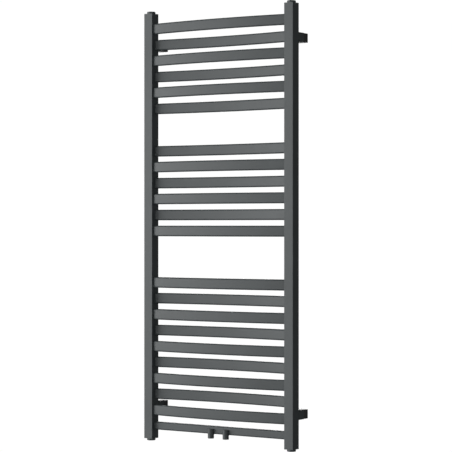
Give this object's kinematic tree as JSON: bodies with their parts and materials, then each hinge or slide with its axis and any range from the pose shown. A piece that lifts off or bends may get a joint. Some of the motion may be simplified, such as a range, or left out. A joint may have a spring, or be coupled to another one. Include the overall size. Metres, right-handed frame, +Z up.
{
  "type": "ladder towel radiator",
  "caption": "Wall-hung ladder radiator: two upright posts, flat bowed rungs with two towel gaps, middle pipe connection below, post-end plugs, an air bleed valve and adjustable wall brackets.",
  "frame": {"origin": "centre of the rectangle of the four wall screw holes, on the wall plane, at half the posts' height", "axes": "+Z up, +Y into the wall, -Y out of the front of the radiator, +X to the right seen from the front"},
  "size_m": [0.5, 0.0845, 1.2139],
  "materials": {
    "body_paint": "satin fine-textured anthracite powder coat",
    "bracket_plastic": "matt black moulded plastic",
    "collar_plastic": "matt black moulded plastic",
    "seal_rubber": "matt",
    "brass": "turned",
    "steel_screw": "blackened"
  },
  "bodies": {
    "wall_brackets": {"top_left_wall_block": "bracket_plastic", "top_right_wall_block": "bracket_plastic", "bottom_left_wall_block": "bracket_plastic", "bottom_right_wall_block": "bracket_plastic"},
    "radiator": {"left_post": "body_paint", "right_post": "body_paint", "rung_01": "body_paint", "rung_02": "body_paint", "rung_03": "body_paint", "rung_04": "body_paint", "rung_05": "body_paint", "rung_06": "body_paint", "rung_07": "body_paint", "rung_08": "body_paint", "rung_09": "body_paint", "rung_10": "body_paint", "rung_11": "body_paint", "rung_12": "body_paint", "rung_13": "body_paint", "rung_14": "body_paint", "rung_15": "body_paint", "rung_16": "body_paint", "rung_17": "body_paint", "rung_18": "body_paint", "rung_19": "body_paint", "rung_20": "body_paint", "rung_21": "body_paint", "connection_rung": "body_paint", "supply_stub": "body_paint", "return_stub": "body_paint", "flow_divider": "body_paint", "top_left_bush": "body_paint", "top_right_bush": "body_paint", "bottom_left_bush": "body_paint", "bottom_right_bush": "body_paint", "top_left_plug": "body_paint", "bottom_left_plug": "body_paint", "bottom_right_plug": "body_paint", "plug_seals": "seal_rubber", "vent_body": "body_paint", "vent_seal": "seal_rubber", "top_left_sleeve": "body_paint", "top_right_sleeve": "body_paint", "bottom_left_sleeve": "body_paint", "bottom_right_sleeve": "body_paint"},
    "bleed_screw": {"bleed_screw": "brass", "bleed_screw_seal": "seal_rubber"},
    "vent_collar": {"vent_collar": "collar_plastic"},
    "top_left_set_screw": {"top_left_set_screw": "steel_screw"},
    "top_right_set_screw": {"top_right_set_screw": "steel_screw"},
    "bottom_left_set_screw": {"bottom_left_set_screw": "steel_screw"},
    "bottom_right_set_screw": {"bottom_right_set_screw": "steel_screw"}
  },
  "joints": [
    {"name": "depth_slide", "type": "slide", "parent": "wall_brackets", "child": "radiator", "axis": [0, -1, 0], "range_m": [0, 0.01]},
    {"name": "bleed_screw_turn", "type": "hinge", "parent": "radiator", "child": "bleed_screw", "pos_m": [0.236, -0.06, 0.6], "axis": [0, 0, 1], "range_deg": [0, 360]},
    {"name": "vent_collar_turn", "type": "hinge", "parent": "radiator", "child": "vent_collar", "pos_m": [0.236, -0.06, 0.6], "axis": [0, 0, 1], "continuous": true},
    {"name": "top_left_set_screw_turn", "type": "hinge", "parent": "radiator", "child": "top_left_set_screw", "pos_m": [-0.236, -0.028, 0.4979], "axis": [0, 0, -1], "range_deg": [0, 360]},
    {"name": "top_right_set_screw_turn", "type": "hinge", "parent": "radiator", "child": "top_right_set_screw", "pos_m": [0.236, -0.028, 0.4979], "axis": [0, 0, -1], "range_deg": [0, 360]},
    {"name": "bottom_left_set_screw_turn", "type": "hinge", "parent": "radiator", "child": "bottom_left_set_screw", "pos_m": [-0.236, -0.028, -0.5201], "axis": [0, 0, -1], "range_deg": [0, 360]},
    {"name": "bottom_right_set_screw_turn", "type": "hinge", "parent": "radiator", "child": "bottom_right_set_screw", "pos_m": [0.236, -0.028, -0.5201], "axis": [0, 0, -1], "range_deg": [0, 360]}
  ]
}
